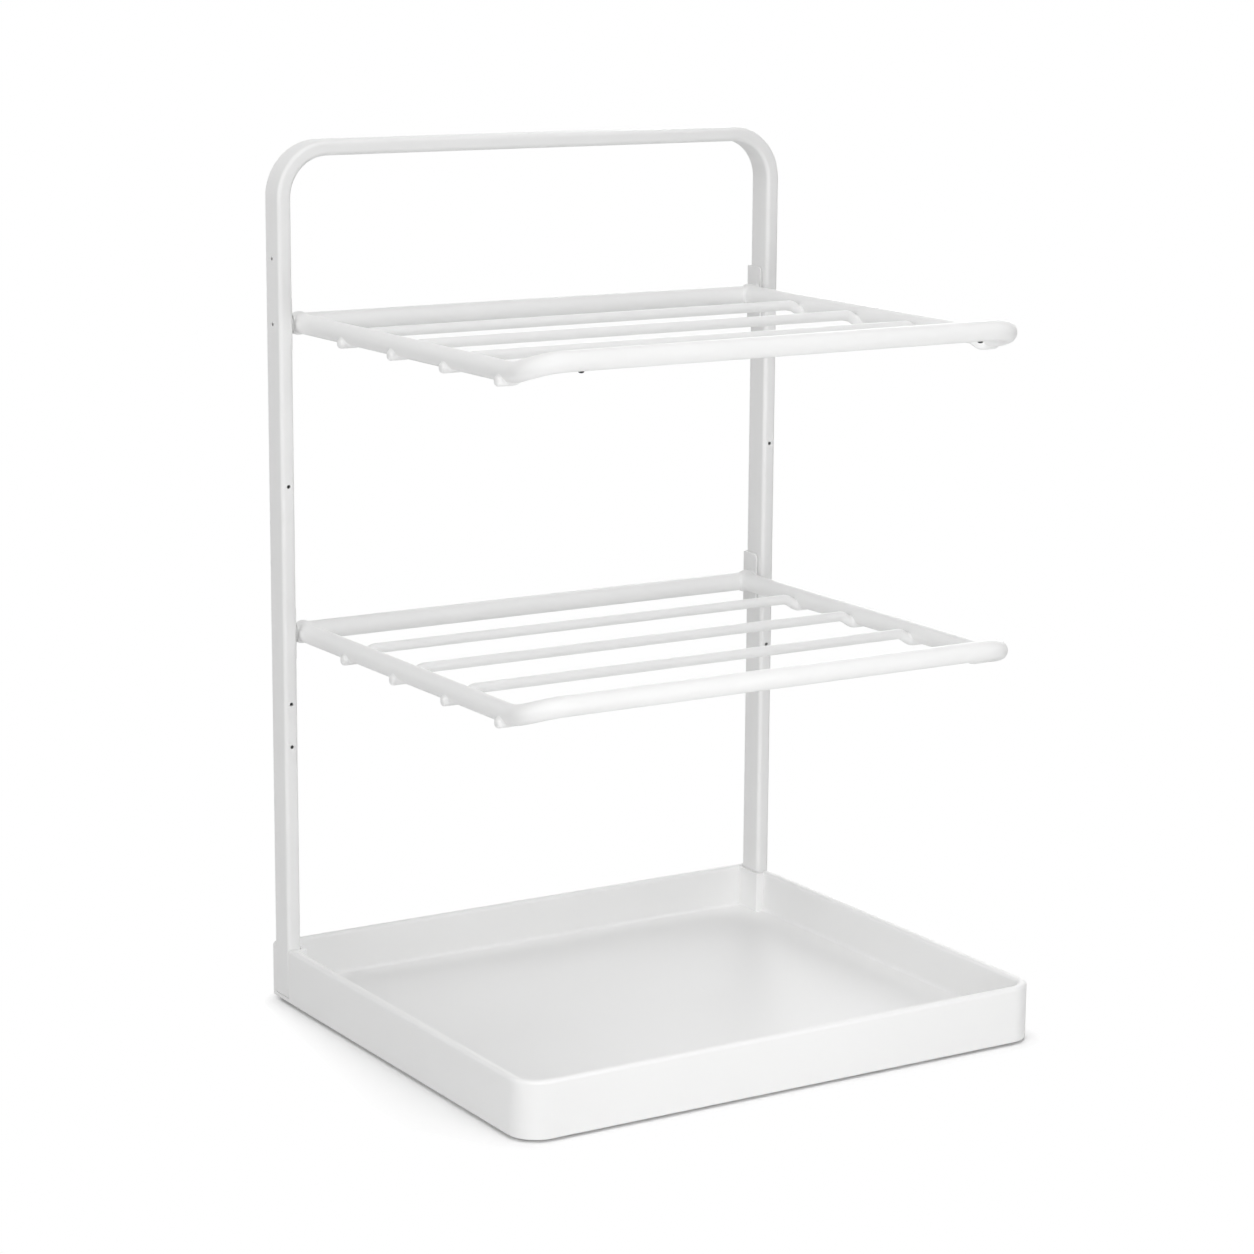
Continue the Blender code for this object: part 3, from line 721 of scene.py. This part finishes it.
class Value:
    """An output socket of a node tree, with the arithmetic operators it needs."""

    def __init__(self, graph, socket):
        self.graph = graph
        self.socket = socket

    def math(self, operation, first, second):
        return self.graph.node("ShaderNodeMath", {"operation": operation}, {0: first, 1: second})

    def __add__(self, other):
        return self.math("ADD", self, other)

    def __radd__(self, other):
        return self.math("ADD", other, self)

    def __sub__(self, other):
        return self.math("SUBTRACT", self, other)

    def __rsub__(self, other):
        return self.math("SUBTRACT", other, self)

    def __mul__(self, other):
        return self.math("MULTIPLY", self, other)

    def __rmul__(self, other):
        return self.math("MULTIPLY", other, self)

    def __pow__(self, other):
        return self.math("POWER", self, other)

    def __rpow__(self, other):
        return self.math("POWER", other, self)

    def __truediv__(self, other):
        return self.math("DIVIDE", self, other)

    def __rtruediv__(self, other):
        return self.math("DIVIDE", other, self)

    def at_least(self, other):
        """The larger of the two."""
        return self.math("MAXIMUM", self, other)

    def as_share(self):
        """The value, held between 0 and 1."""
        return self.math("MINIMUM", self.at_least(0.0), 1.0)


print("class ready: Value")

# %% [markdown]
# A graph is a node tree, and one method adds any node to it. A node's settings come first, because
# some of them change which sockets it has. Then each socket gets a link or a plain value.

# %% Graph class


class Graph:
    """A node tree, with one method that adds any node: its type, its settings, then its inputs."""

    def __init__(self, tree):
        self.tree = tree

    def node(self, kind, settings=None, values=None, output=0):
        node = self.tree.nodes.new(kind)
        for key, setting in (settings or {}).items():
            setattr(node, key, setting)
        for key, value in (values or {}).items():
            self.feed(node.inputs[key], value)
        return Value(self, node.outputs[output])

    def feed(self, socket, value):
        """Links an input to a Value, or sets it to a plain value."""
        if isinstance(value, Value):
            self.tree.links.new(value.socket, socket)
        else:
            socket.default_value = value


print("class ready: Graph")

# %% [markdown]
# A finish is a material with its Principled shader, and the few nodes that every finish here uses:
# noise, a blend of two colours and bump. A Mix node has a set of sockets for each kind of data, so
# the places of its colour sockets are written down.

# %% Finish class
MIX_SHARE, MIX_FIRST, MIX_SECOND, MIX_RESULT = 0, 6, 7, 2


class Finish(Graph):
    """A material with its Principled BSDF."""

    def __init__(self, name):
        self.material = bpy.data.materials.new(name)
        self.material.use_nodes = True
        super().__init__(self.material.node_tree)
        self.shader = self.tree.nodes["Principled BSDF"]

    def surface(self, **values):
        """Feeds the shader's sockets by name, written with _ for a space."""
        for key, value in values.items():
            self.feed(self.shader.inputs[key.replace("_", " ")], value)

    def noise(self, scale, detail=2.0, roughness=0.5):
        """Cloud noise from 0 to 1 in the object's own coordinates, scale being lumps in a metre."""
        place = self.node("ShaderNodeTexCoord", output="Object")
        values = {"Vector": place, "Scale": scale, "Detail": detail, "Roughness": roughness}
        return self.node("ShaderNodeTexNoise", {"noise_dimensions": "3D"}, values)

    def blend(self, share, first, second):
        """A colour between two colours, by a share from 0 to 1."""
        values = {MIX_SHARE: share, MIX_FIRST: (*first, 1.0), MIX_SECOND: (*second, 1.0)}
        return self.node("ShaderNodeMix", {"data_type": "RGBA"}, values, output=MIX_RESULT)

    def bump(self, height, strength, distance):
        """A normal that is tilted as if the surface rose and fell by a height map."""
        values = {"Height": height, "Strength": strength, "Distance": distance}
        return self.node("ShaderNodeBump", None, values)


print("class ready: Finish")

# %% [markdown]
# ## White powder coat
#
# The steel is painted with powder that is melted in an oven. It flows almost smooth and keeps a
# fine orange peel: soft lumps of about a millimetre, with finer grain between them. Film thickness
# changes the white by a hair and the gloss by a little more, so noise drives the colour, the
# roughness and the bump.

# %% Powder coat
SPECULAR = 0.3


def powder_coat():
    paint = Finish("white_powder_coat")
    peel, grain = paint.noise(900), paint.noise(3200)
    cloud = paint.noise(18, detail=3.0)
    thin, thick = (0.85, 0.85, 0.847), (0.885, 0.885, 0.881)
    paint.surface(
        Base_Color=paint.blend(cloud, thin, thick),
        Roughness=0.34 + 0.10 * cloud + 0.06 * peel,
        Normal=paint.bump(0.7 * peel + 0.3 * grain, strength=0.06, distance=0.0003),
        Specular_IOR_Level=SPECULAR,
    )
    return paint.material


finishes = {"white_powder_coat": powder_coat()}
print("finish:", finishes["white_powder_coat"].name)

# %% [markdown]
# ## Moulded plastic
#
# The tray's mould is spark eroded, which leaves a very fine even grain on the plastic, duller than
# the paint. Slow clouds stand for the flow of the melt.

# %% Plastic


def moulded_plastic():
    plastic = Finish("white_moulded_plastic")
    grain = plastic.noise(2200, detail=3.0, roughness=0.6)
    cloud = plastic.noise(11)
    dull, bright = (0.865, 0.865, 0.863), (0.895, 0.895, 0.891)
    plastic.surface(
        Base_Color=plastic.blend(cloud, dull, bright),
        Roughness=0.42 + 0.08 * cloud + 0.08 * grain,
        Normal=plastic.bump(grain, strength=0.09, distance=0.0002),
        Specular_IOR_Level=SPECULAR,
    )
    return plastic.material


finishes["tray_plastic"] = moulded_plastic()
print("finish:", finishes["tray_plastic"].name)

# %% [markdown]
# ## Rubber and steel
#
# The feet and plugs are matte black rubber with a coarse grain. Pegs, pins and screws are zinc
# plated: the plating's spangles change the colour and the gloss together, and fine scratches give
# the bump.

# %% Rubber and steel


def black_rubber():
    rubber = Finish("black_rubber")
    grain = rubber.noise(1500, detail=4.0, roughness=0.65)
    hollow, crest = (0.045, 0.046, 0.048), (0.075, 0.076, 0.078)
    rubber.surface(
        Base_Color=rubber.blend(grain, hollow, crest),
        Roughness=0.75 + 0.15 * grain,
        Normal=rubber.bump(grain, strength=0.3, distance=0.0003),
    )
    return rubber.material


def zinc_steel():
    steel = Finish("zinc_plated_steel")
    spangle = steel.noise(400, detail=3.0)
    scratch = steel.noise(2600)
    cool, warm = (0.58, 0.59, 0.62), (0.70, 0.70, 0.69)
    steel.surface(
        Base_Color=steel.blend(spangle, cool, warm),
        Roughness=0.26 + 0.18 * spangle,
        Normal=steel.bump(scratch, strength=0.08, distance=0.0002),
        Metallic=1.0,
    )
    return steel.material


finishes["black_rubber"] = black_rubber()
finishes["zinc_steel"] = zinc_steel()
print("finishes:", ", ".join(finishes))

# %% [markdown]
# ## Put every piece on its body
#
# A piece takes its finish, stands for the solid that it covers, and rides on the body that moves
# it. The rack lifts off the tray, so the tube, rods, wires, plates and plugs ride on the rack, and
# the rest on the base.

# %% Dress the model
for piece, node, body, slot in pieces:
    piece.data.materials.clear()
    piece.data.materials.append(finishes[slot])
    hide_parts(node)
    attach(piece, body)
kept = sorted(set(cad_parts) - {node for _, node, _, _ in pieces})
for node in kept:
    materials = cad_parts[node].data.materials
    materials.clear()
    materials.append(finishes["zinc_steel"])
print("dressed", len(pieces), "nodes and kept", ", ".join(kept))

# %% [markdown]
# ## Floor and light
#
# The studio is a white sweep. The floor is lit and takes the shadow close to the tray, and fades to
# plain white a little further out, so no horizon shows. The fade grows with the distance from the
# tray's outline: how far a point lies past the corner's centre in X and Y, as one length, less the
# corner's radius. It is tight all round and wider along the left side, where the shadow lies, and
# narrows towards both ends of that side.

# %% Floor fade
TIGHT_FADE, WIDE_FADE = 0.009, 0.037
BACK_TAPER, FRONT_TAPER = 0.19, 0.05
FADE_POWER = 0.65


def floor_fade(floor):
    """The share of plain white: the distance past the tray's outline over the fade's width there,
    raised to a power."""
    place = floor.node("ShaderNodeTexCoord", output="Object")
    vectors = "ShaderNodeVectorMath"
    corner_centre = (*(tray_half - TRAY_FRONT_RADIUS), 0.0)
    past = floor.node(vectors, {"operation": "ABSOLUTE"}, {0: place})
    past = floor.node(vectors, {"operation": "SUBTRACT"}, {0: past, 1: corner_centre})
    past = floor.node(vectors, {"operation": "MAXIMUM"}, {0: past, 1: (0.0, 0.0, 0.0)})
    reach = floor.node(vectors, {"operation": "LENGTH"}, {0: past}, output="Value")
    x, y = (floor.node("ShaderNodeSeparateXYZ", None, {0: place}, output=axis) for axis in "XY")
    beside = ((-1.0 * x - corner_centre[0]) / TRAY_FRONT_RADIUS).as_share()
    to_back, to_front = (tray_half[1] - y) / BACK_TAPER, (y + tray_half[1]) / FRONT_TAPER
    along = to_back.as_share() * to_front.as_share()
    width = TIGHT_FADE + (WIDE_FADE - TIGHT_FADE) * beside * along
    return ((reach - TRAY_FRONT_RADIUS).at_least(0.0) / width) ** FADE_POWER


print("floor fade:", TIGHT_FADE * MM, "to", WIDE_FADE * MM, "mm wide")

# %% [markdown]
# The camera sees the fade, and every other ray sees a plain pale floor that sends light back up.
# The floor's back is see-through for views from below.

# %% Floor
FLOOR_SIZE = 6.0
WHITE = (1.0, 1.0, 1.0, 1.0)
PALE = (0.8, 0.8, 0.8, 1.0)


def studio_floor():
    floor = Finish("studio_floor")
    seen = floor.node("ShaderNodeLightPath", output="Is Camera Ray")
    behind = floor.node("ShaderNodeNewGeometry", output="Backfacing")
    bounce = floor.node("ShaderNodeBsdfDiffuse", None, {"Color": PALE})
    lit = floor.node("ShaderNodeBsdfDiffuse", None, {"Color": WHITE})
    white = floor.node("ShaderNodeEmission", None, {"Color": WHITE, "Strength": 1.0})
    clear = floor.node("ShaderNodeBsdfTransparent")
    picture = floor.node("ShaderNodeMixShader", None, {0: floor_fade(floor), 1: lit, 2: white})
    front = floor.node("ShaderNodeMixShader", None, {0: seen, 1: bounce, 2: picture})
    both = floor.node("ShaderNodeMixShader", None, {0: behind, 1: front, 2: clear})
    floor.feed(floor.tree.nodes["Material Output"].inputs["Surface"], both)
    return floor.material


half = FLOOR_SIZE / 2
floor_mesh = bpy.data.meshes.new("floor")
floor_corners = [(-half, -half, 0), (half, -half, 0), (half, half, 0), (-half, half, 0)]
floor_mesh.from_pydata(floor_corners, [], [(0, 1, 2, 3)])
floor_mesh.materials.append(studio_floor())
floor = bpy.data.objects.new("floor", floor_mesh)
bpy.context.scene.collection.objects.link(floor)
print("floor:", FLOOR_SIZE, "m wide")

# %% [markdown]
# The world lights everything softly from all round. To the camera and in reflections it looks plain
# white, whatever its strength, so the backdrop stays white without more light on the object.

# %% World
WORLD_STRENGTH = 0.14
world = bpy.data.worlds.new("studio_world")
world.use_nodes = True
bpy.context.scene.world = world
sky = Graph(world.node_tree)
seen = sky.node("ShaderNodeLightPath", output="Is Camera Ray")
seen = seen.at_least(sky.node("ShaderNodeLightPath", output="Is Glossy Ray"))
seen = seen.at_least(sky.node("ShaderNodeLightPath", output="Is Transmission Ray"))
soft = sky.node("ShaderNodeBackground", None, {"Color": WHITE, "Strength": WORLD_STRENGTH})
plain = sky.node("ShaderNodeBackground", None, {"Color": WHITE, "Strength": 1.0})
mixed = sky.node("ShaderNodeMixShader", None, {0: seen, 1: soft, 2: plain})
sky.feed(sky.tree.nodes["World Output"].inputs["Surface"], mixed)
print("world strength:", WORLD_STRENGTH)

# %% [markdown]
# Five softboxes model the form: a near one in front, which the low front faces get most of, a wide
# one on the left, two above, which set the tops of the rods off from their undersides, and one
# behind on the right that keeps the far sides from going dull. A sixth, far weaker, lies in the gap
# below the tray, so that the ribs and the feet show in a view from below; no light of it reaches
# what is seen from above.

# %% Lamps


def softbox(name, place, aim, size, power):
    """An area lamp of some width and height that faces a point."""
    data = bpy.data.lights.new(name, "AREA")
    data.shape = "RECTANGLE"
    data.size, data.size_y = size
    data.energy = power
    lamp = bpy.data.objects.new(name, data)
    lamp.visible_camera = False
    toward = np.array(aim) - np.array(place)
    backward = -toward / np.linalg.norm(toward)
    right = np.cross((0, 0, 1), backward)
    right /= np.linalg.norm(right)
    turn = Matrix(np.column_stack([right, np.cross(backward, right), backward]).tolist())
    lamp.matrix_world = Matrix.Translation(place) @ turn.to_4x4()
    bpy.context.scene.collection.objects.link(lamp)
    return lamp


lamps = [
    # name, place, aim, width and height in metres, power in watts
    softbox("near_front", (-0.03, -0.82, 0.26), (0.01, -0.14, 0.14), (0.5, 0.5), 2.95),
    softbox("wide_left", (-1.8, -0.2, 0.7), (0, 0, 0.2), (1.4, 1.4), 14.2),
    softbox("wide_above", (0.05, -0.25, 1.5), (0, -0.05, 0.2), (1.5, 1.5), 7.5),
    softbox("front_above", (-0.1, -0.45, 1.3), (0, -0.1, 0.2), (0.8, 0.8), 2.4),
    softbox("back_right", (1.5, 1.3, 0.9), (0, 0, 0.2), (1.2, 1.2), 13.5),
    softbox("under_tray", (0, 0, 0.0007), (0, 0.0001, 0.1), (0.3, 0.26), 0.06),
]
print("lamps:", ", ".join(lamp.name for lamp in lamps))

# %% [markdown]
# ## Camera
#
# The photograph was taken from the front left, a little above the top of the shelf, with a long
# lens. Its edges were fitted to give the angles, the place and the focal length in pixels of a 1254
# pixel frame, which the sensor's width turns into millimetres.

# %% Camera
IMAGE_SIDE = 1254
FOCAL_PIXELS = 3442.9
AZIMUTH = math.radians(31.894)
ELEVATION = math.radians(11.848)
ROLL = math.radians(0.4)
SENSOR_WIDTH = 36.0
CAMERA_PLACE = (-0.9661, -1.5281, 0.5985)
forward = np.array([
    math.sin(AZIMUTH) * math.cos(ELEVATION),
    math.cos(AZIMUTH) * math.cos(ELEVATION),
    -math.sin(ELEVATION),
])
level_right = np.array([math.cos(AZIMUTH), -math.sin(AZIMUTH), 0.0])
level_up = np.cross(level_right, forward)
right = math.cos(ROLL) * level_right + math.sin(ROLL) * level_up
up = math.cos(ROLL) * level_up - math.sin(ROLL) * level_right
camera_data = bpy.data.cameras.new("camera")
camera_data.sensor_width = SENSOR_WIDTH
camera_data.lens = FOCAL_PIXELS / IMAGE_SIDE * SENSOR_WIDTH
camera = bpy.data.objects.new("camera", camera_data)
turn = Matrix(np.column_stack([right, up, -forward]).tolist())
camera.matrix_world = Matrix.Translation(CAMERA_PLACE) @ turn.to_4x4()
bpy.context.scene.collection.objects.link(camera)
bpy.context.scene.camera = camera
bpy.context.scene.view_settings.view_transform = "Standard"
print("camera: lens", round(camera_data.lens, 1), "mm")
